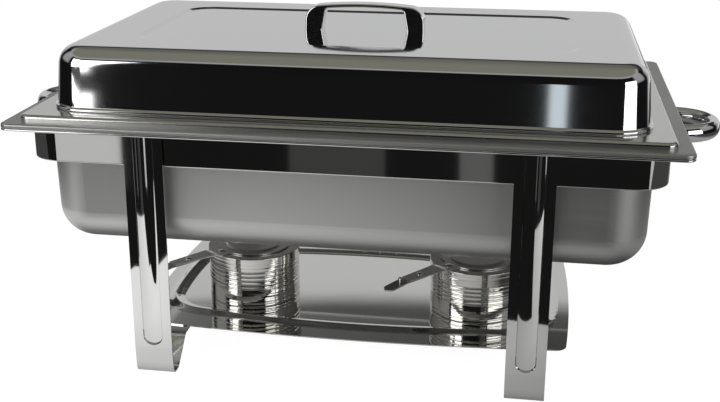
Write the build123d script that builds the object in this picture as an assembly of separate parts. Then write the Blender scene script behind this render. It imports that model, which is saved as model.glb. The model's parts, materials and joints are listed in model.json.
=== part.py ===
from build123d import *
import math
import os

# Chafing dish food warmer: a folded-sheet stand with four strip legs and a fuel shelf, a water
# pan hung in the stand, a food pan hung in the water pan, a lid, and two fuel holders with
# swinging snuffers. Millimetres, +Z up, origin on the floor under the middle of the dish.

# ---- driving dimensions -------------------------------------------------------------------

# stand
FLANGE_X, FLANGE_Y = 277.0, 175.0      # half size of the outer flange
FLANGE_TOP = 222.6                     # top face of the water pan's flange
FLANGE_CORNER = 8.0
COLLAR_X, COLLAR_Y = 262.5, 160.0      # half size of the collar's outer face
COLLAR_CORNER = 28.0
COLLAR_BOTTOM = 188.0
STAND_SHEET = 1.0
RIM_BEAD = 1.1                         # radius of the stand's rolled outer edge
RIM_BOTTOM = 216.5

# pans and lid
PAN_SHEET = 0.8
WATER_X, WATER_Y = 253.0, 150.5        # half size of the water pan's wall at its top
WATER_CORNER = 36.0
WATER_BOTTOM = 111.8
WATER_LIP_BOTTOM = 219.2
RIM_X, RIM_Y = 265.0, 162.5            # half size of the 1/1 gastronorm rim, 530 x 325
RIM_TOP = 227.4
RIM_CORNER = 9.0
MOUTH_X, MOUTH_Y = 245.0, 141.9        # half size of the food pan's mouth
MOUTH_CORNER = 28.6
FOOD_PAN_DEPTH = 65.0
KICK_X, KICK_Y = 249.4, 146.3          # half size of the lid over its kicked-out edge
KICK_CORNER = 33.0
LID_TOP = 279.9
LID_BEND = 16.0                        # bend radius round the lid's top edge
PANEL_X, PANEL_Y = 188.0, 88.0         # half size of the sunken panel in the lid's top
PANEL_CORNER = 24.0
PANEL_DEPTH = 1.3

# lid handle
HANDLE_LENGTH, HANDLE_DEPTH = 108.4, 16.8
HANDLE_RISE = 23.4
GRIP_THICKNESS = 3.0
HANDLE_SCREW_X = 46.4

# legs and shelf
LEG_X = 158.7
LEG_WIDTH, LEG_SHEET = 33.0, 1.2
GROOVE_WIDTH, GROOVE_DEPTH = 17.0, 2.0
GROOVE_STEP = 0.6                      # depth of the groove's steep sides
GROOVE_BOTTOM = 27.6                   # the round end of the groove's outline
LEG_STAND_OFF = 1.7                    # air between the collar and the leg's flat sides
SHELF_SHEET = 1.0
SHELF_TOP = 24.3
SHELF_X, SHELF_Y = 196.5, 118.0        # half size at the middle of each bowed side
SHELF_BOW_X, SHELF_BOW_Y = 4.0, 10.5   # how far the corners stand back from the middles
SHELF_CORNER = 11.0
BEAD_X, BEAD_Y = 178.0, 91.0           # half size of the raised bead's middle line
BEAD_BOW_X, BEAD_BOW_Y = 5.0, 18.0
BEAD_CORNER = 40.0
BEAD_WIDTH, BEAD_HEIGHT = 18.0, 3.0

# side loops
LOOP_REACH = 318.0
LOOP_HALF_WIDTH = 38.0                 # over the outside of the bar
LOOP_BAR_WIDTH, LOOP_BAR_HEIGHT = 11.0, 16.0
LOOP_Z = 201.5

# fuel holders
CUP_RADIUS, CUP_HEIGHT = 43.0, 48.5    # height over the cap
CUP_WALL, CUP_FLOOR = 1.5, 0.9
RINGS_BOTTOM, RINGS_TOP, RING_COUNT = 18.4, 34.4, 5
CAP_SHEET, CAP_SKIRT, CAP_FIT = 0.8, 10.2, 0.05
CAP_MOUTH = 26.0
COVER_RADIUS, COVER_SHEET = 34.0, 1.0
COVER_LIFT = 0.3                       # air under the snuffer cover
PIVOT_AT = 37.6                        # pivot rivet from the cup's middle, towards the handle
ARM_STEP_START, ARM_STEP_END, ARM_STEP = 44.5, 50.5, 2.0
ARM_END, GRIP_START, GRIP_END = 92.0, 66.0, 116.0
GRIP_SHEET = 1.2
GRIP_RIVET_AT, GRIP_RIVET_RADIUS = 75.0, 1.5
THUMB_PIN_AT, THUMB_PIN_RADIUS = 99.0, 1.2
HANDLE_DIRECTION = 230.5               # degrees about +Z from +X
CUP_PLACES = {"left": (-103.0, -23.0), "right": (110.0, -24.5)}

# fasteners
SCREW_RADIUS, SCREW_HEAD, SCREW_HEAD_HEIGHT = 2.0, 4.0, 2.4
LOOP_SCREW_RADIUS, LOOP_SCREW_HEAD = 2.5, 4.6
HOLE_CLEARANCE = 0.1
PIVOT_CLEARANCE = 0.05


# ---- shapes used by several parts ---------------------------------------------------------

def sheet_profile(points, bends, thickness):
    """The section of a bent sheet: a line with rounded bends, given a thickness."""
    return trace(FilletPolyline(*points, radius=bends), line_width=thickness)


def ring(profile, half_x, half_y, corner):
    """Carry a section round a rounded rectangle. Its x is outward of that outline, its y is height."""
    pieces = []
    for side in range(4):
        outward, run = (half_x, half_y) if side % 2 == 0 else (half_y, half_x)
        run -= corner
        start = Plane(origin=(outward, run, 0), x_dir=(1, 0, 0), z_dir=(0, -1, 0)) * profile
        corner_axis = Axis((outward - corner, run, 0), (0, 0, 1))
        wall = extrude(start, amount=2 * run)
        bend = revolve(start, axis=corner_axis, revolution_arc=90)
        pieces += [Rot(0, 0, 90 * side) * wall, Rot(0, 0, 90 * side) * bend]
    return Part() + pieces


def plate(half_x, half_y, corner, bottom, thickness):
    """A flat rounded plate."""
    return Pos(0, 0, bottom) * extrude(RectangleRounded(2 * half_x, 2 * half_y, corner), thickness)


def frame_plate(outer, mouth, bottom, thickness):
    """A flat rounded plate with a rounded mouth; outer and mouth are (half x, half y, corner)."""
    return plate(*outer, bottom, thickness) - plate(*mouth, bottom - 1, thickness + 2)


def grown(outline, amount):
    """A rounded rectangle (half x, half y, corner) moved outward, or inward if negative."""
    return tuple(value + amount for value in outline)


def bowed_outline(mid_x, mid_y, bow_x, bow_y, corner):
    """A rectangle with outward bowed sides and rounded corners."""
    x, y = mid_x - bow_x, mid_y - bow_y
    sides = [
        ThreePointArc((-x, -y), (0, -mid_y), (x, -y)),
        ThreePointArc((x, -y), (mid_x, 0), (x, y)),
        ThreePointArc((x, y), (0, mid_y), (-x, y)),
        ThreePointArc((-x, y), (-mid_x, 0), (-x, -y)),
    ]
    face = make_face(Curve() + sides)
    return fillet(face.vertices(), corner)


def rod(radius, bottom, top):
    """An upright round bar on the Z axis."""
    return Pos(0, 0, bottom) * extrude(Circle(radius), top - bottom)


def domed_head(radius, height):
    """A round-topped screw or rivet head standing on z = 0."""
    rise = 0.65 * height
    ball = (radius**2 + rise**2) / (2 * rise)
    return rod(radius, 0, height) & Pos(0, 0, height - ball) * Sphere(ball)


# ---- stand --------------------------------------------------------------------------------

def stand_collar():
    """Upright collar with an outward flange that ends in a rolled edge."""
    flange_top = FLANGE_TOP - PAN_SHEET
    middle = flange_top - STAND_SHEET / 2
    outer = (FLANGE_X, FLANGE_Y, FLANGE_CORNER)
    rim_line = -RIM_BEAD - STAND_SHEET / 2
    rim = sheet_profile(
        [(rim_line, RIM_BOTTOM + RIM_BEAD), (rim_line, middle), (-6, middle)], 1.2, STAND_SHEET
    )
    rim += Pos(-RIM_BEAD, RIM_BOTTOM + RIM_BEAD) * Circle(RIM_BEAD)
    wall_outline = (COLLAR_X, COLLAR_Y, COLLAR_CORNER)
    wall_line = -STAND_SHEET / 2
    wall = sheet_profile(
        [(wall_line, COLLAR_BOTTOM + RIM_BEAD), (wall_line, middle), (4, middle)], 2.0, STAND_SHEET
    )
    wall += Pos(-RIM_BEAD, COLLAR_BOTTOM + RIM_BEAD) * Circle(RIM_BEAD)
    flange = frame_plate(
        grown(outer, -6), grown(wall_outline, 4), flange_top - STAND_SHEET, STAND_SHEET
    )
    body = ring(rim, *outer) + ring(wall, *wall_outline) + flange
    for side in (-1, 1):
        for arm in (-1, 1):
            body -= loop_screw_place(side, arm) * rod(LOOP_SCREW_RADIUS + HOLE_CLEARANCE, -6, 6)
    return body


def leg():
    """Front right leg: one strip from the collar down, round the foot and back under the shelf."""
    face_y = -(COLLAR_Y + LEG_STAND_OFF)
    line_y = face_y - LEG_SHEET / 2
    floor = LEG_SHEET / 2
    under_shelf = SHELF_TOP - SHELF_SHEET - LEG_SHEET / 2
    path = [
        (line_y, FLANGE_TOP - PAN_SHEET - STAND_SHEET - 0.5),
        (line_y, 25.5),
        (line_y + 1.7, floor),
        (-148.0, floor),
        (-124.0, under_shelf),
        (-91.0, under_shelf),
    ]
    section = sheet_profile(path, [8, 6, 6, 10], LEG_SHEET)
    strip = extrude(Plane.YZ * section, amount=LEG_WIDTH / 2, both=True)
    back_of_groove = groove_form(face_y, LEG_SHEET) & leg_back_space(face_y)
    return Pos(LEG_X, 0, 0) * (strip + back_of_groove - groove_form(face_y, 0))


def groove_form(face_y, extra):
    """The round-ended form that presses the leg's groove, hollow across and thicker by extra."""
    outer_y = face_y - LEG_SHEET
    sag = GROOVE_DEPTH - GROOVE_STEP
    radius = (GROOVE_WIDTH**2 / 4 + sag**2) / (2 * sag)
    low = GROOVE_BOTTOM - extra
    length = FLANGE_TOP + 20 - low
    bar = Pos(0, outer_y + GROOVE_DEPTH - radius, 0) * rod(radius + extra, low - 10, FLANGE_TOP)
    face = Plane(origin=(0, outer_y, low + length / 2), x_dir=(1, 0, 0), z_dir=(0, 1, 0))
    slot = SlotOverall(length, GROOVE_WIDTH + 2 * extra, rotation=90)
    return bar & extrude(face * slot, GROOVE_DEPTH + extra + 0.5, taper=35)


def leg_back_space(face_y):
    """The space behind the leg's sheet where the groove's back may stand, up to the collar."""
    top = FLANGE_TOP - PAN_SHEET - STAND_SHEET - 0.5
    front_y = face_y - LEG_SHEET / 2
    return Pos(0, (front_y - COLLAR_Y) / 2, top / 2) * Box(LEG_WIDTH, -COLLAR_Y - front_y, top)


def shelf_bead():
    """Raised ridge that stiffens the shelf, carried round the shelf's own outline shape."""
    half, crest = BEAD_WIDTH / 2, BEAD_HEIGHT
    low, high = ((-half, 0), (0, crest), (half, 0)), ((1, 0), (1, 0))
    upper = Spline(*low, tangents=high)
    lower = Pos(0, -SHELF_SHEET) * upper
    ends = [Line((x, 0), (x, -SHELF_SHEET)) for x in (-half, half)]
    section = make_face(Curve() + [upper, ends[1], lower, ends[0]])
    path = Pos(0, 0, SHELF_TOP) * bead_line().wires()[0]
    along = path % 0
    start = Plane(origin=path @ 0, x_dir=Vector(0, 0, 1).cross(along), z_dir=along)
    return sweep(start * section, path=path)


def bead_line():
    """The bead's middle line, as a face."""
    return bowed_outline(BEAD_X, BEAD_Y, BEAD_BOW_X, BEAD_BOW_Y, BEAD_CORNER)


def shelf_tray():
    """Fuel shelf: a thin bowed plate with an oval raised bead."""
    outline = bowed_outline(SHELF_X, SHELF_Y, SHELF_BOW_X, SHELF_BOW_Y, SHELF_CORNER)
    flat = Pos(0, 0, SHELF_TOP - SHELF_SHEET) * extrude(outline, SHELF_SHEET)
    channel = offset(bead_line(), BEAD_WIDTH / 2) - offset(bead_line(), -BEAD_WIDTH / 2)
    return flat - Pos(0, 0, SHELF_TOP - 2) * extrude(channel, 4) + shelf_bead()


# ---- side loops ---------------------------------------------------------------------------

def loop_arm_y():
    """Distance of each arm's middle line from the dish's long axis."""
    return LOOP_HALF_WIDTH - LOOP_BAR_WIDTH / 2


def loop_screw_place(side, arm):
    """On the collar's outer face at one arm, with z pointing outward."""
    return Pos(side * COLLAR_X, arm * loop_arm_y(), LOOP_Z) * Rot(0, 90 * side, 0)


def side_loop():
    """Right-hand loop: an oval bar bent to a half ring between two short arms."""
    bend_x = LOOP_REACH - LOOP_HALF_WIDTH
    section = Ellipse(LOOP_BAR_WIDTH / 2, LOOP_BAR_HEIGHT / 2)
    root = Plane(origin=(COLLAR_X, -loop_arm_y(), LOOP_Z), x_dir=(0, 1, 0), z_dir=(1, 0, 0))
    arm = extrude(root * section, bend_x - COLLAR_X)
    bow = revolve(
        Plane(origin=(bend_x, -loop_arm_y(), LOOP_Z), x_dir=(0, 1, 0), z_dir=(1, 0, 0)) * section,
        axis=Axis((bend_x, 0, 0), (0, 0, 1)),
        revolution_arc=180,
    )
    loop = arm + bow + mirror(arm, Plane.XZ)
    for end in (-1, 1):
        loop -= loop_screw_place(1, end) * rod(LOOP_SCREW_RADIUS + HOLE_CLEARANCE, -1, 11.5)
    return loop


def loop_screws():
    """Four screws from inside the collar into the loops' arms."""
    under_head = -STAND_SHEET - 1.0
    head = Pos(0, 0, under_head) * Rot(180, 0, 0) * domed_head(LOOP_SCREW_HEAD, 2.6)
    screw = head + rod(LOOP_SCREW_RADIUS, under_head, 10.0)
    return [loop_screw_place(side, arm) * screw for side in (-1, 1) for arm in (-1, 1)]


def loop_washers():
    """Four washers under those screws' heads."""
    washer = rod(5.6, -STAND_SHEET - 1.0, -STAND_SHEET) - rod(
        LOOP_SCREW_RADIUS + HOLE_CLEARANCE, -4, 0
    )
    return [loop_screw_place(side, arm) * washer for side in (-1, 1) for arm in (-1, 1)]


# ---- pans ---------------------------------------------------------------------------------

def dished_pan(lip, wall, outer, mouth, flange_top):
    """A pan: a turned-down lip, a flat flange, a wall with a rounded foot, and a flat bottom."""
    inward = -min(point[0] for point in wall["points"])
    floor_z = wall["points"][-1][1] - PAN_SHEET / 2
    body = ring(sheet_profile(lip["points"], lip["bends"], PAN_SHEET), *outer)
    body += ring(sheet_profile(wall["points"], wall["bends"], PAN_SHEET), *mouth)
    body += frame_plate(grown(outer, -6), grown(mouth, 4), flange_top - PAN_SHEET, PAN_SHEET)
    body += plate(*grown(mouth, -inward), floor_z, PAN_SHEET)
    return body


def water_pan():
    """Deep pan whose flange covers the stand's flange."""
    middle = FLANGE_TOP - PAN_SHEET / 2
    half = PAN_SHEET / 2
    bottom = WATER_BOTTOM + half
    lip = {"points": [(-half, WATER_LIP_BOTTOM), (-half, middle), (-6, middle)], "bends": 1.2}
    wall = {
        "points": [(4, middle), (-half, middle), (-3.0, bottom), (-34.0, bottom)],
        "bends": [2.5, 29],
    }
    outer = (FLANGE_X, FLANGE_Y, FLANGE_CORNER)
    return dished_pan(lip, wall, outer, (WATER_X, WATER_Y, WATER_CORNER), FLANGE_TOP)


def food_pan():
    """Full-size gastronorm pan hung on the water pan's flange."""
    middle = RIM_TOP - PAN_SHEET / 2
    half = PAN_SHEET / 2
    bottom = RIM_TOP - FOOD_PAN_DEPTH + half
    lip = {"points": [(-half, FLANGE_TOP), (-half, middle), (-6, middle)], "bends": 2.4}
    wall = {
        "points": [(4, middle), (-half, middle), (-3.5, bottom), (-26.0, bottom)],
        "bends": [2.5, 20],
    }
    outer = (RIM_X, RIM_Y, RIM_CORNER)
    return dished_pan(lip, wall, outer, (MOUTH_X, MOUTH_Y, MOUTH_CORNER), RIM_TOP)


# ---- lid ----------------------------------------------------------------------------------

def lid_shell():
    """Lid with a locating skirt, a kicked-out resting edge and a sunken panel on top."""
    half = PAN_SHEET / 2
    kick_low = RIM_TOP + half
    top = LID_TOP - half
    outline = (KICK_X, KICK_Y, KICK_CORNER)
    section = sheet_profile(
        [
            (-6.4, RIM_TOP - 4.6),
            (-6.4, kick_low),
            (-half, kick_low),
            (-half, kick_low + 1.8),
            (-2.6, kick_low + 2.8),
            (-6.8, top),
            (-26.0, top),
        ],
        [0.9, 0.8, 0.8, 1.2, LID_BEND],
        PAN_SHEET,
    )
    panel = (PANEL_X, PANEL_Y, PANEL_CORNER)
    ramp = sheet_profile(
        [(7, top), (3, top), (-3, top - PANEL_DEPTH), (-7, top - PANEL_DEPTH)], [5, 5], PAN_SHEET
    )
    shell = ring(section, *outline) + ring(ramp, *panel)
    shell += frame_plate(grown(outline, -26), grown(panel, 7), LID_TOP - PAN_SHEET, PAN_SHEET)
    shell += plate(*grown(panel, -7), LID_TOP - PAN_SHEET - PANEL_DEPTH, PAN_SHEET)
    for place in handle_screw_places():
        shell -= place * rod(SCREW_RADIUS + HOLE_CLEARANCE, -4, 2)
    return shell


def handle_screw_places():
    """Where the handle's feet stand on the lid's sunken panel."""
    return [Pos(side * HANDLE_SCREW_X, 0, LID_TOP - PANEL_DEPTH) for side in (-1, 1)]


def bridge_outline(half_width, height, crown, shoulder, lean):
    """An arch outline standing on y = 0: leaning sides, rounded shoulders and a crowned top."""
    top_x = half_width - lean
    edges = [
        Line((-half_width, 0), (half_width, 0)),
        Line((half_width, 0), (top_x, height - crown)),
        ThreePointArc((top_x, height - crown), (0, height), (-top_x, height - crown)),
        Line((-top_x, height - crown), (-half_width, 0)),
    ]
    face = make_face(Curve() + edges)
    return fillet(face.vertices().filter_by(lambda v: v.Y > 1), shoulder)


def lid_handle():
    """Bridge handle: two broad feet joined by a thin crowned grip."""
    outer = bridge_outline(HANDLE_LENGTH / 2, HANDLE_RISE, 3.4, 14.0, 0.6)
    inner = bridge_outline(38.8, HANDLE_RISE - GRIP_THICKNESS, 1.7, 3.5, 3.4)
    bridge = extrude(Plane.XZ * (outer - inner), amount=HANDLE_DEPTH / 2, both=True)
    faces_edges = bridge.edges().filter_by(
        lambda edge: abs(abs(edge.center().Y) - HANDLE_DEPTH / 2) < 0.01 and edge.center().Z > 0.1
    )
    bridge = Pos(0, 0, LID_TOP - PANEL_DEPTH) * fillet(faces_edges, 1.3)
    for place in handle_screw_places():
        bridge -= place * rod(SCREW_RADIUS + HOLE_CLEARANCE, -1, 9.5)
    return bridge


def lid_handle_screws():
    """Two screws from inside the lid into the handle's feet."""
    under_head = -PAN_SHEET - 1.0
    head = Pos(0, 0, under_head) * Rot(180, 0, 0) * domed_head(SCREW_HEAD, SCREW_HEAD_HEIGHT)
    screw = head + rod(SCREW_RADIUS, under_head, 8.5)
    return [place * screw for place in handle_screw_places()]


def lid_handle_washers():
    """Two washers between those screws' heads and the lid."""
    washer = rod(5.0, -PAN_SHEET - 1.0, -PAN_SHEET) - rod(SCREW_RADIUS + HOLE_CLEARANCE, -4, 0)
    return [place * washer for place in handle_screw_places()]


# ---- fuel holders -------------------------------------------------------------------------
# Each piece is drawn with its cup's middle on the Z axis, the shelf's top face at z = 0 and the
# snuffer's handle along +X, then put in place.

def cup_place(side):
    """Moves a fuel holder's piece to its place on the shelf."""
    x, y = CUP_PLACES[side]
    return Pos(x, y, SHELF_TOP) * Rot(0, 0, HANDLE_DIRECTION)


def fuel_cup():
    """Spun cup with a plain band at the bottom and rings rolled into its wall above that."""
    top = CUP_HEIGHT - CAP_SHEET
    cup = fillet(rod(CUP_RADIUS, 0, top).edges().sort_by(Axis.Z)[0], 1.2)
    cup -= rod(CUP_RADIUS - CUP_WALL, CUP_FLOOR, top + 1)
    step = (RINGS_TOP - RINGS_BOTTOM) / (RING_COUNT - 1)
    for index in range(RING_COUNT):
        depth = 0.9 if index == 0 else 0.6
        cup -= cup_groove(RINGS_BOTTOM + index * step, depth)
    return cup - cup_groove(3.9, 0.4)


def cup_groove(height, depth):
    """The round-bottomed groove to cut from the cup's wall at one height."""
    tool = 1.2
    return Pos(0, 0, height) * Torus(CUP_RADIUS + tool - depth, tool)


def cup_cap():
    """Cap pressed over the cup, with a round mouth for the flame."""
    outer, inner = CUP_RADIUS + CAP_SHEET, CUP_RADIUS + CAP_FIT
    cap = rod(outer, CUP_HEIGHT - CAP_SKIRT, CUP_HEIGHT)
    cap = fillet(cap.edges().sort_by(Axis.Z)[-1], 0.7)
    cap -= rod(inner, 0, CUP_HEIGHT - CAP_SHEET)
    cap += rod(CAP_MOUTH + CAP_SHEET, CUP_HEIGHT - 3.5, CUP_HEIGHT)
    mouth = rod(CAP_MOUTH, CUP_HEIGHT - 5, CUP_HEIGHT + 1)
    return cap - mouth - hole_at(PIVOT_AT, SCREW_RADIUS)


def hole_at(distance, radius):
    """A hole with a pin's running clearance, this far from the cup's middle towards the handle."""
    return Pos(distance, 0, 0) * rod(radius + PIVOT_CLEARANCE, CUP_HEIGHT - 10, CUP_HEIGHT + 10)


def pivot_rivet():
    """Headed rivet that holds the snuffer cover to the cap and lets it swing."""
    under_cap = CUP_HEIGHT - CAP_SHEET
    over_cover = CUP_HEIGHT + COVER_LIFT + COVER_SHEET + COVER_LIFT / 2
    rivet = rod(SCREW_RADIUS, under_cap, over_cover)
    rivet += Pos(0, 0, over_cover) * domed_head(3.7, 1.3)
    rivet += rod(3.2, under_cap - 1.0, under_cap)
    return Pos(PIVOT_AT, 0, 0) * rivet


def snuffer_cover():
    """Round dished cover with a tapering arm that steps up clear of the cup's edge."""
    bottom = CUP_HEIGHT + COVER_LIFT
    middle = bottom + COVER_SHEET / 2
    root, root_half, end_half = 20.0, 10.0, 5.6
    taper = make_face(
        Polyline(
            (root, -root_half), (ARM_END, -end_half), (ARM_END, end_half), (root, root_half), close=True
        )
    )
    raised = middle + ARM_STEP
    line = [(root, middle), (ARM_STEP_START, middle), (ARM_STEP_END, raised), (ARM_END, raised)]
    strip = extrude(Plane.XZ * sheet_profile(line, 3.0, COVER_SHEET), amount=root_half, both=True)
    arm = strip & Pos(0, 0, bottom - 1) * extrude(taper, COVER_SHEET + ARM_STEP + 2)
    dome_radius, dome_rise = 27.0, 1.2
    dome = Pos(0, 0, bottom + COVER_SHEET) * extrude(Circle(dome_radius), dome_rise, taper=50)
    hollow = Pos(0, 0, bottom) * extrude(Circle(dome_radius - 0.6), dome_rise, taper=50)
    cover = rod(COVER_RADIUS, bottom, bottom + COVER_SHEET) + arm + dome - hollow
    return cover - hole_at(PIVOT_AT, SCREW_RADIUS) - hole_at(GRIP_RIVET_AT, GRIP_RIVET_RADIUS)


def snuffer_grip():
    """Finger strip riveted under the arm's end, with a rounded tip bent slightly down."""
    width, tip_drop = 11.0, 2.6
    line = grip_bottom() + GRIP_SHEET / 2
    points = [(GRIP_START, line), (95.0, line), (GRIP_END, line - tip_drop)]
    strip = extrude(Plane.XZ * sheet_profile(points, 8, GRIP_SHEET), amount=width / 2, both=True)
    middle, length = (GRIP_START + GRIP_END) / 2, GRIP_END - GRIP_START
    rounded = Pos(middle, 0, CUP_HEIGHT - 10) * extrude(SlotOverall(length, width), 20)
    grip = strip & rounded
    return grip - hole_at(GRIP_RIVET_AT, GRIP_RIVET_RADIUS) - hole_at(THUMB_PIN_AT, THUMB_PIN_RADIUS)


def grip_bottom():
    """Height of the grip's underside, where it lies flat against the arm."""
    return CUP_HEIGHT + COVER_LIFT + ARM_STEP - GRIP_SHEET


def grip_rivet():
    """Rivet that joins the grip to the arm."""
    tail, arm_top = 0.6, grip_bottom() + GRIP_SHEET + COVER_SHEET
    rivet = rod(GRIP_RIVET_RADIUS, grip_bottom(), arm_top)
    rivet += Pos(0, 0, arm_top) * domed_head(2.7, 1.4)
    rivet += rod(2.4, grip_bottom() - tail, grip_bottom())
    return Pos(GRIP_RIVET_AT, 0, 0) * rivet


def thumb_pin():
    """Small upright pin near the grip's tip to push the snuffer round with."""
    tail, top = grip_bottom() - 1.3, grip_bottom() + GRIP_SHEET + 3.2
    pin = rod(THUMB_PIN_RADIUS, tail, top) + Pos(0, 0, top) * domed_head(1.8, 1.4)
    return Pos(THUMB_PIN_AT, 0, 0) * pin


# ---- write the nodes ----------------------------------------------------------------------

def all_nodes():
    """Every node's name with its shape."""
    corner_leg = leg()
    right_loop = side_loop()
    nodes = {
        "stand_collar": stand_collar(),
        "leg_front_right": corner_leg,
        "leg_front_left": mirror(corner_leg, Plane.YZ),
        "leg_rear_right": mirror(corner_leg, Plane.XZ),
        "leg_rear_left": mirror(mirror(corner_leg, Plane.YZ), Plane.XZ),
        "shelf_tray": shelf_tray(),
        "side_loop_right": right_loop,
        "side_loop_left": mirror(right_loop, Plane.YZ),
        "loop_screws": Compound(children=loop_screws()),
        "loop_washers": Compound(children=loop_washers()),
        "water_pan": water_pan(),
        "food_pan": food_pan(),
        "lid_shell": lid_shell(),
        "lid_handle": lid_handle(),
        "lid_handle_screws": Compound(children=lid_handle_screws()),
        "lid_handle_washers": Compound(children=lid_handle_washers()),
    }
    holder_pieces = {
        "fuel_cup": fuel_cup(),
        "cup_cap": cup_cap(),
        "pivot_rivet": pivot_rivet(),
        "snuffer_cover": snuffer_cover(),
        "snuffer_grip": snuffer_grip(),
        "grip_rivet": grip_rivet(),
        "thumb_pin": thumb_pin(),
    }
    for side in CUP_PLACES:
        for name, piece in holder_pieces.items():
            nodes[f"{name}_{side}"] = cup_place(side) * piece
    return nodes


def main():
    os.makedirs("parts", exist_ok=True)
    for name, shape in all_nodes().items():
        export_step(shape, f"parts/{name}.step")


main()
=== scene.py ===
"""Chafing dish food warmer: the camera, the studio and the metal finishes round the CAD frame."""
import json
import math

import bpy
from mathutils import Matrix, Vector

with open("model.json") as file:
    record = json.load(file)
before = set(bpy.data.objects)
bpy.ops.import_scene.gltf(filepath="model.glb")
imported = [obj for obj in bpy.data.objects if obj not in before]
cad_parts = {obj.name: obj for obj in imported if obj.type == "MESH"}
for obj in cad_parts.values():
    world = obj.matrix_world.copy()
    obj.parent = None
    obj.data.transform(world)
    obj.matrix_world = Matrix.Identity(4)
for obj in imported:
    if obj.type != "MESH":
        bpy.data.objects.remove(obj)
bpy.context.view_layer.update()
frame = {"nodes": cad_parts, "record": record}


def gray(value):
    """A neutral colour."""
    return (value, value, value)


# ---- camera -------------------------------------------------------------------------------
CAMERA_PLACE = (0.1547, -1.0154, 0.4603)                      # m
CAMERA_YAW, CAMERA_PITCH, CAMERA_ROLL = 9.23, 17.95, -0.11    # degrees
CAMERA_LENS, CAMERA_SENSOR = 56.9, 36.0                       # mm
CAMERA_SHIFT = (0.0075, -0.0196)
CAMERA_CLIP = (0.01, 50.0)                                    # m

# ---- paper under the dish, metres ---------------------------------------------------------
# Its front edge runs forward in a tongue, left of the middle, which the legs' faces mirror.
PAPER_CORNERS = (
    (-1.2, -0.60), (-0.60, -0.50), (-0.32, -0.33), (-0.29, -0.315), (-0.268, -0.335), (-0.262, -0.40),
    (-0.238, -0.40), (-0.238, -0.58), (0.11, -0.58), (0.125, -0.33), (0.25, -0.31), (0.42, -0.48),
    (1.2, -0.50), (1.2, 2.6), (-1.2, 2.6),
)
PAPER_Z = -0.0006
PAPER_COLOUR = gray(0.30)
PAPER_GLOW = 0.96                             # the paper's own glow, as the camera sees it
PAPER_PAINTED_GLOW = 0.90                              # the paper's painted glow, as the steel sees it
PAPER_REACH = 1.2                             # half width that its shades are laid out on
PAPER_PAINTED_LIGHT = [                              # (x, shade) of painted light and shade, from the left of the dish to its right
    (-0.70, 0.06), (-0.56, 1.0), (-0.23, 1.0), (0.0, 0.667), (0.28, 0.36), (0.52, 0.36), (0.68, 0.06),
]
# A shadow of the dish, painted on the paper where the steel mirrors it.
SHADE_HALF_X, SHADE_HALF_Y = 0.30, 0.29       # half size of the painted shadow under the dish
SHADE_MIDDLE_Y = 0.16
SHADE_ROUNDING = 0.05                         # softens the painted shadow's corners
SHADE_FADE = 0.14                             # how far the painted shadow takes to fade out
# The painted shadow's tones, from under the dish out to the open paper.
PAINTED_SHADOW_STOPS = [(0.0, gray(0.12)), (0.35, gray(0.80)), (1.0, gray(1.0))]

# ---- room ---------------------------------------------------------------------------------
# What the steel mirrors, as (elevation in degrees, colour): behind the dish, in front of it and
# at its two ends.
OLIVE = (0.200, 0.198, 0.165)
DARK_OLIVE = (0.120, 0.118, 0.098)
BACK_BANDS = [
    (-90, gray(0.85)), (-4, gray(0.80)), (2, gray(0.56)), (23.2, gray(0.54)), (23.6, gray(0.08)),
    (29, gray(0.03)), (34, gray(0.04)), (40, DARK_OLIVE), (90, OLIVE),
]
FRONT_BANDS = [
    (-90, gray(0.80)), (-62, gray(0.60)), (-52, gray(0.010)), (38, gray(0.006)), (42, gray(0.35)),
    (45, gray(0.35)), (49, OLIVE), (90, OLIVE),
]
SIDE_BANDS = [
    (-90, gray(0.80)), (-62, gray(0.60)), (-52, gray(0.010)), (6, gray(0.006)), (13, gray(0.30)),
    (42, gray(0.35)), (49, OLIVE), (90, OLIVE),
]
# Each share runs from 0 to 1 between two values of the heading, which is -1 straight ahead of
# the dish, 0 at its ends and 1 straight behind it.
BACK_EDGE, FRONT_EDGE = 0.823, 0.5
SIDE_OUTER, SIDE_INNER = 0.45, 0.25
LEAST_LEVEL = 0.001                           # keeps the heading real straight up and down

# ---- lights -------------------------------------------------------------------------------
# Upright panels: (name, heading, elevation, distance, width, height, brightness). Headings and
# elevations are in degrees and distances in metres, from LIGHTS_MIDDLE. A heading of 0 is
# straight ahead of the dish, and headings to its right are positive.
LIGHTS_MIDDLE = (0, 0, 0.16)
LIGHTS = [
    ("softbox_left", -41.5, 18.4, 1.9, 0.97, 1.16, 2.4),
    ("sill_left", -40.3, -1.8, 1.9, 0.97, 0.052, 2.2),
    ("bounce_left", -27.05, -12.8, 1.9, 0.160, 0.18, 0.55),
    ("softbox_right", 53, 8, 1.9, 1.20, 0.90, 2.0),
    ("bounce_right", 60, -13, 1.9, 0.50, 0.18, 0.5),
    ("strip_middle", 5.6, -5, 2.2, 0.045, 0.50, 0.80),
    ("glow_middle", 0.4, -13, 2.2, 0.09, 0.30, 0.10),
    ("glow_left", -9.3, -14, 2.2, 0.25, 0.30, 0.04),
]
LIGHT_TINTS = {"strip_middle": (0.84, 0.94, 1.0)}

# ---- finishes -----------------------------------------------------------------------------
GRAIN_STRETCH = (8, 8, 400)                   # long level streaks
SPUN_STRETCH = (9, 9, 420)                    # fine rings round the fuel cups
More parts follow.
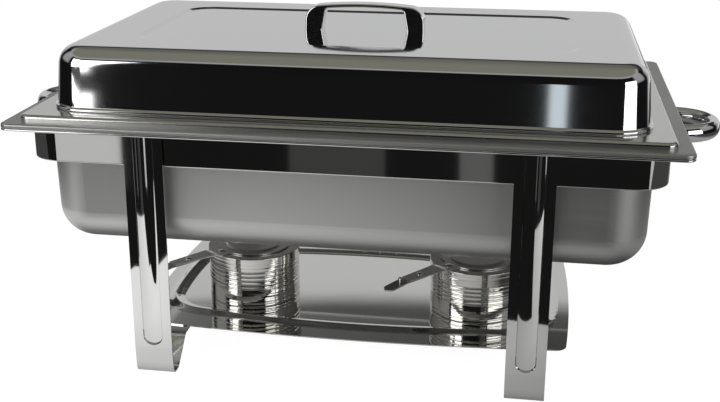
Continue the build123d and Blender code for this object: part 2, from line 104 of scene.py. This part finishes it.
# Each material slot's colour and roughness. Waves are the unevenness of pressed or spun sheet,
# their height in metres, and grain is the share by which the roughness varies.
FINISHES = {
    "lid_mirror_steel": {
        "colour": (0.83, 0.83, 0.835), "roughness": 0.05, "wave_height": 0.00006, "wave_size": 9.0},
    "mirror_steel": {
        "colour": (0.80, 0.80, 0.785), "roughness": 0.04, "wave_height": 0.00005, "wave_size": 12.0},
    "satin_steel": {"colour": (0.60, 0.60, 0.59), "roughness": 0.42, "grain": 0.12},
    "pan_steel": {
        "colour": (0.72, 0.72, 0.70), "roughness": 0.18, "wave_height": 0.00004, "wave_size": 14.0},
    "chromed_steel": {"colour": (0.85, 0.85, 0.87), "roughness": 0.04},
    "cup_steel": {
        "colour": (0.70, 0.69, 0.65), "roughness": 0.10,
        "wave_height": 0.00018, "wave_size": 1.0, "wave_stretch": SPUN_STRETCH},
    "cover_steel": {"colour": (0.62, 0.61, 0.60), "roughness": 0.28},
    "grip_steel": {"colour": (0.42, 0.41, 0.40), "roughness": 0.25},
    "fastener_steel": {"colour": (0.70, 0.70, 0.70), "roughness": 0.15},
}


# ---- camera and node helpers --------------------------------------------------------------

def add_camera():
    """The main camera, in front of the dish and above its lid."""
    data = bpy.data.cameras.new("camera")
    data.sensor_width = CAMERA_SENSOR
    data.lens = CAMERA_LENS
    data.shift_x, data.shift_y = CAMERA_SHIFT
    data.clip_start, data.clip_end = CAMERA_CLIP
    camera = bpy.data.objects.new("camera", data)
    camera.location = CAMERA_PLACE
    camera.rotation_mode = "XYZ"
    camera.rotation_euler = (
        math.radians(90 - CAMERA_PITCH), math.radians(CAMERA_ROLL), math.radians(CAMERA_YAW)
    )
    bpy.context.scene.collection.objects.link(camera)
    bpy.context.scene.camera = camera


def wire(tree, source, target):
    """Joins an output socket to an input socket."""
    tree.links.new(source, target)


def math_node(tree, operation, first, second=0.0, third=0.0):
    """A math node, whose inputs are sockets or numbers. Returns its output."""
    node = tree.nodes.new("ShaderNodeMath")
    node.operation = operation
    for place, value in enumerate((first, second, third)):
        if isinstance(value, (int, float)):
            node.inputs[place].default_value = value
        else:
            wire(tree, value, node.inputs[place])
    return node.outputs[0]


def ramp(tree, factor, stops, interpolation="LINEAR"):
    """A ramp of (position, colour) stops. Returns its colour."""
    node = tree.nodes.new("ShaderNodeValToRGB")
    node.color_ramp.interpolation = interpolation
    elements = node.color_ramp.elements
    while len(elements) < len(stops):
        elements.new(1.0)
    for element, (position, colour) in zip(elements, stops):
        element.position = position
        element.color = (*colour, 1.0)
    wire(tree, factor, node.inputs[0])
    return node.outputs[0]


def mix_colours(tree, factor, first, second, blend="MIX"):
    """Mixes two colours, each a socket or a tuple, in the node's colour sockets. Returns the mix."""
    node = tree.nodes.new("ShaderNodeMix")
    node.data_type = "RGBA"
    node.blend_type = blend
    for place, value in ((0, factor), (6, first), (7, second)):
        if isinstance(value, (int, float)):
            node.inputs[place].default_value = value
        elif isinstance(value, tuple):
            node.inputs[place].default_value = (*value, 1.0)
        else:
            wire(tree, value, node.inputs[place])
    return node.outputs[2]


# ---- room and lights ----------------------------------------------------------------------

def elevation_ramp(tree, elevation, bands):
    """The colours of the bands, blended along the elevation."""
    stops = [((degrees + 90) / 180, colour) for degrees, colour in bands]
    return ramp(tree, elevation, stops)


def share_of_heading(tree, heading, none_at, all_at):
    """0 where the heading is past none_at and 1 where it is past all_at, eased between them."""
    slope = 1 / (all_at - none_at)
    position = math_node(tree, "MULTIPLY_ADD", heading, slope, -none_at * slope)
    return ramp(tree, position, [(0.0, gray(0.0)), (1.0, gray(1.0))], "EASE")


def shown_or_mirrored(tree, mirrored, shown):
    """A shader that is the shown one to the camera and the mirrored one in the steel. Only the
    room and the paper use it, never the dish."""
    choose = tree.nodes.new("ShaderNodeMixShader")
    path = tree.nodes.new("ShaderNodeLightPath")
    wire(tree, path.outputs["Is Camera Ray"], choose.inputs[0])
    wire(tree, mirrored.outputs[0], choose.inputs[1])
    wire(tree, shown.outputs[0], choose.inputs[2])
    return choose.outputs[0]


def add_world():
    """A studio that is white to the camera. The steel mirrors it pale behind, dark in front, half
    dark at the ends, and with an olive-gray ceiling."""
    world = bpy.data.worlds.new("studio")
    world.use_nodes = True
    tree = world.node_tree
    tree.nodes.clear()
    direction = tree.nodes.new("ShaderNodeTexCoord").outputs["Generated"]
    parts = tree.nodes.new("ShaderNodeSeparateXYZ")
    wire(tree, direction, parts.inputs[0])
    x, y, z = parts.outputs
    angle = math_node(tree, "ARCSINE", z)
    elevation = math_node(tree, "MULTIPLY_ADD", angle, 1 / math.pi, 0.5)
    squares = math_node(tree, "ADD", math_node(tree, "MULTIPLY", x, x), math_node(tree, "MULTIPLY", y, y))
    level = math_node(tree, "MAXIMUM", math_node(tree, "SQRT", squares), LEAST_LEVEL)
    heading = math_node(tree, "DIVIDE", y, level)
    room = mix_colours(
        tree, share_of_heading(tree, heading, BACK_EDGE, FRONT_EDGE),
        elevation_ramp(tree, elevation, BACK_BANDS),
        elevation_ramp(tree, elevation, FRONT_BANDS),
    )
    off_side = math_node(tree, "ABSOLUTE", heading)
    room = mix_colours(
        tree, share_of_heading(tree, off_side, SIDE_OUTER, SIDE_INNER),
        room,
        elevation_ramp(tree, elevation, SIDE_BANDS),
    )
    mirrored = tree.nodes.new("ShaderNodeBackground")
    wire(tree, room, mirrored.inputs["Color"])
    shown = tree.nodes.new("ShaderNodeBackground")
    shown.inputs["Color"].default_value = (1, 1, 1, 1)
    output = tree.nodes.new("ShaderNodeOutputWorld")
    wire(tree, shown_or_mirrored(tree, mirrored, shown), output.inputs[0])
    bpy.context.scene.world = world


def add_lights():
    """Soft studio panels round the front of the dish."""
    middle = Vector(LIGHTS_MIDDLE)
    for name, heading, elevation, distance, width, height, brightness in LIGHTS:
        around, up = math.radians(heading), math.radians(elevation)
        level = Vector((math.sin(around), -math.cos(around), 0))
        towards = level * math.cos(up) + Vector((0, 0, math.sin(up)))
        data = bpy.data.lights.new(name, "AREA")
        data.shape = "RECTANGLE"
        data.size, data.size_y = width, height
        data.energy = brightness * math.pi * width * height
        data.color = LIGHT_TINTS.get(name, (1.0, 1.0, 1.0))
        light = bpy.data.objects.new(name, data)
        light.location = middle + towards * distance
        light.rotation_mode = "QUATERNION"
        light.rotation_quaternion = (-level).to_track_quat("-Z", "Y")
        bpy.context.scene.collection.objects.link(light)


def painted_paper_shading(tree):
    """The paper's painted light and shade in the steel: a painted shadow under the dish, and darker to
    its right and far out.
    """
    place = tree.nodes.new("ShaderNodeTexCoord").outputs["Object"]
    parts = tree.nodes.new("ShaderNodeSeparateXYZ")
    wire(tree, place, parts.inputs[0])
    x, y, _ = parts.outputs
    beyond_x = math_node(tree, "SUBTRACT", math_node(tree, "ABSOLUTE", x), SHADE_HALF_X)
    from_middle = math_node(tree, "ABSOLUTE", math_node(tree, "SUBTRACT", y, SHADE_MIDDLE_Y))
    beyond_y = math_node(tree, "SUBTRACT", from_middle, SHADE_HALF_Y)
    beyond = math_node(tree, "SMOOTH_MAX", beyond_x, beyond_y, SHADE_ROUNDING)
    # Painted shadow of the dish: dark under it, fading out beyond.
    painted_shadow = ramp(tree, math_node(tree, "DIVIDE", beyond, SHADE_FADE), PAINTED_SHADOW_STOPS)
    # Painted light and shade across the paper, lightest on the left of the dish.
    across = math_node(tree, "MULTIPLY_ADD", x, 0.5 / PAPER_REACH, 0.5)
    stops = [(0.5 + 0.5 * side / PAPER_REACH, gray(level)) for side, level in PAPER_PAINTED_LIGHT]
    return mix_colours(tree, 1.0, painted_shadow, ramp(tree, across, stops), "MULTIPLY")


def paper_finish():
    """Glowing white paper to the camera, with no edge against the room, and in the steel a sheet with a
    painted glow, a painted shadow and painted shade.
    """
    material = bpy.data.materials.new("paper")
    material.use_nodes = True
    tree = material.node_tree
    tree.nodes.clear()
    # The paper's painted glow in the steel, coloured by its painted shadow and shade.
    mirrored = tree.nodes.new("ShaderNodeEmission")
    wire(tree, painted_paper_shading(tree), mirrored.inputs["Color"])
    mirrored.inputs["Strength"].default_value = PAPER_PAINTED_GLOW
    glow = tree.nodes.new("ShaderNodeEmission")
    glow.inputs["Color"].default_value = (1, 1, 1, 1)
    glow.inputs["Strength"].default_value = PAPER_GLOW
    matt = tree.nodes.new("ShaderNodeBsdfDiffuse")
    matt.inputs["Color"].default_value = (*PAPER_COLOUR, 1.0)
    shown = tree.nodes.new("ShaderNodeAddShader")
    wire(tree, glow.outputs[0], shown.inputs[0])
    wire(tree, matt.outputs[0], shown.inputs[1])
    output = tree.nodes.new("ShaderNodeOutputMaterial")
    wire(tree, shown_or_mirrored(tree, mirrored, shown), output.inputs[0])
    return material


def add_paper():
    """The sheet of paper that the dish stands on."""
    corners = [(x, y, PAPER_Z) for x, y in PAPER_CORNERS]
    mesh = bpy.data.meshes.new("paper")
    mesh.from_pydata(corners, [], [tuple(range(len(corners)))])
    mesh.materials.append(paper_finish())
    paper = bpy.data.objects.new("paper", mesh)
    bpy.context.scene.collection.objects.link(paper)


# ---- steel --------------------------------------------------------------------------------

def stretched_noise(tree, stretch, size, detail):
    """Noise through the metal, in the piece's own metres. Returns its strength."""
    mapping = tree.nodes.new("ShaderNodeMapping")
    mapping.inputs["Scale"].default_value = stretch
    wire(tree, tree.nodes.new("ShaderNodeTexCoord").outputs["Object"], mapping.inputs["Vector"])
    noise = tree.nodes.new("ShaderNodeTexNoise")
    noise.inputs["Scale"].default_value = size
    noise.inputs["Detail"].default_value = detail
    wire(tree, mapping.outputs[0], noise.inputs["Vector"])
    return noise.outputs["Fac"]


def add_waves(tree, shader, height, size, stretch):
    """The slight unevenness of pressed or spun sheet."""
    bump = tree.nodes.new("ShaderNodeBump")
    bump.inputs["Strength"].default_value = 1.0
    bump.inputs["Distance"].default_value = height
    wire(tree, stretched_noise(tree, stretch, size, 1.0), bump.inputs["Height"])
    wire(tree, bump.outputs[0], shader.inputs["Normal"])


def add_grain(tree, shader, roughness, grain):
    """Streaks of a little more and a little less gloss."""
    spread = tree.nodes.new("ShaderNodeMapRange")
    spread.inputs["To Min"].default_value = roughness * (1 - grain)
    spread.inputs["To Max"].default_value = roughness * (1 + grain)
    wire(tree, stretched_noise(tree, GRAIN_STRETCH, 1.0, 3.0), spread.inputs["Value"])
    wire(tree, spread.outputs[0], shader.inputs["Roughness"])


def steel(name, colour, roughness, wave_height=0.0, wave_size=1.0, wave_stretch=(1, 1, 1), grain=0.0):
    """Polished or satin steel, with waves and grain where the finish has them."""
    material = bpy.data.materials.new(name)
    material.use_nodes = True
    tree = material.node_tree
    shader = tree.nodes["Principled BSDF"]
    shader.inputs["Base Color"].default_value = (*colour, 1.0)
    shader.inputs["Metallic"].default_value = 1.0
    shader.inputs["Roughness"].default_value = roughness
    if wave_height:
        add_waves(tree, shader, wave_height, wave_size, wave_stretch)
    if grain:
        add_grain(tree, shader, roughness, grain)
    return material


def paint_nodes():
    """Gives each CAD node the finish of its own slot in the record."""
    made = {slot: steel(slot, **finish) for slot, finish in FINISHES.items()}
    for subpart in frame["record"]["subparts"]:
        node = frame["nodes"][subpart["node"]]
        node.data.materials.clear()
        node.data.materials.append(made[subpart["material_slot"]])


add_camera()
add_world()
add_lights()
add_paper()
paint_nodes()
bpy.context.scene.view_settings.view_transform = "Standard"
